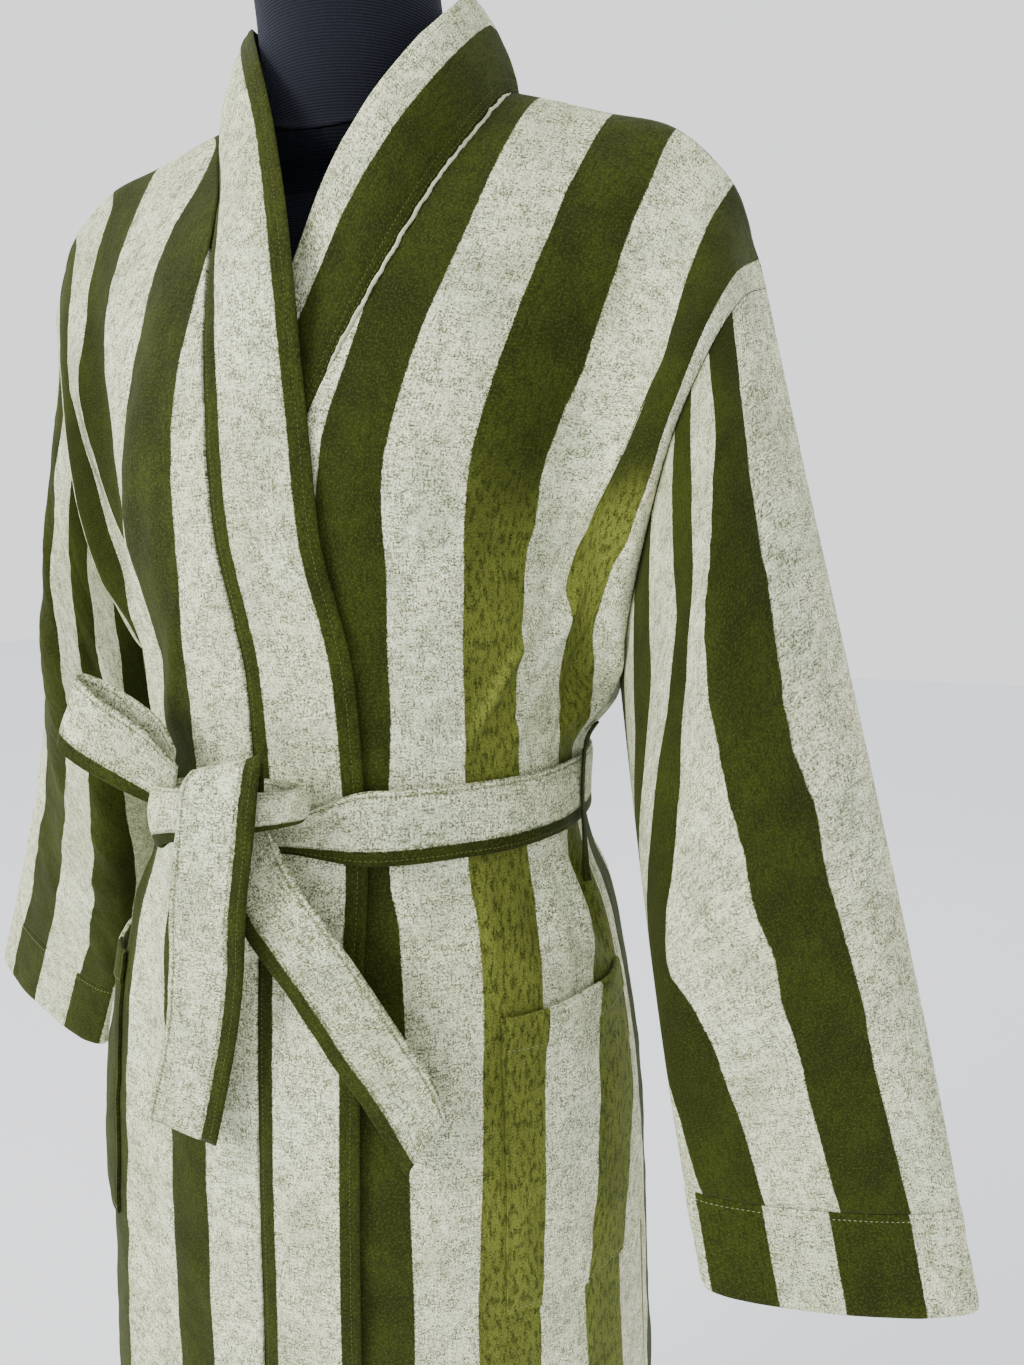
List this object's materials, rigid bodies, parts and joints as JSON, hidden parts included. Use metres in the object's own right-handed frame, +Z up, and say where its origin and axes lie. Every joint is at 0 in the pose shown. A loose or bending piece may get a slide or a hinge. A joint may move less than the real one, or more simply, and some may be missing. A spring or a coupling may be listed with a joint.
{
  "type": "kimono robe on a dress form",
  "caption": "Long wrap robe in wide olive and pale vertical stripes, tied at the waist with its own belt, on a limbless dress form with a pole and a round base.",
  "frame": {"origin": "middle of the underside of the stand's round base", "axes": "+Z up; -Y is the way the robe faces; +X is the wearer's left"},
  "size_m": [0.8146, 0.4, 1.544],
  "materials": {
    "robe_velvet": "cotton velvet with a short dense pile, woven or printed in wide olive green and pale grey stripes, soft sheen at grazing angles",
    "form_cloth": "matt black fine ribbed jersey stretched over the form",
    "stand_paint": "satin black paint on steel"
  },
  "bodies": {
    "root": {"back": "robe_velvet", "front_left": "robe_velvet", "front_right": "robe_velvet", "neckband_left": "robe_velvet", "neckband_right": "robe_velvet", "sleeve_left": "robe_velvet", "sleeve_right": "robe_velvet", "cuff_left": "robe_velvet", "cuff_right": "robe_velvet", "pocket_left": "robe_velvet", "pocket_right": "robe_velvet", "belt_loop_left": "robe_velvet", "belt_loop_right": "robe_velvet", "belt_waist": "robe_velvet", "belt_knot": "robe_velvet", "bow_loop": "robe_velvet", "tail_front": "robe_velvet", "tail_side": "robe_velvet", "form_torso": "form_cloth", "form_neck": "form_cloth", "form_pole": "stand_paint", "form_base": "stand_paint"}
  },
  "joints": []
}
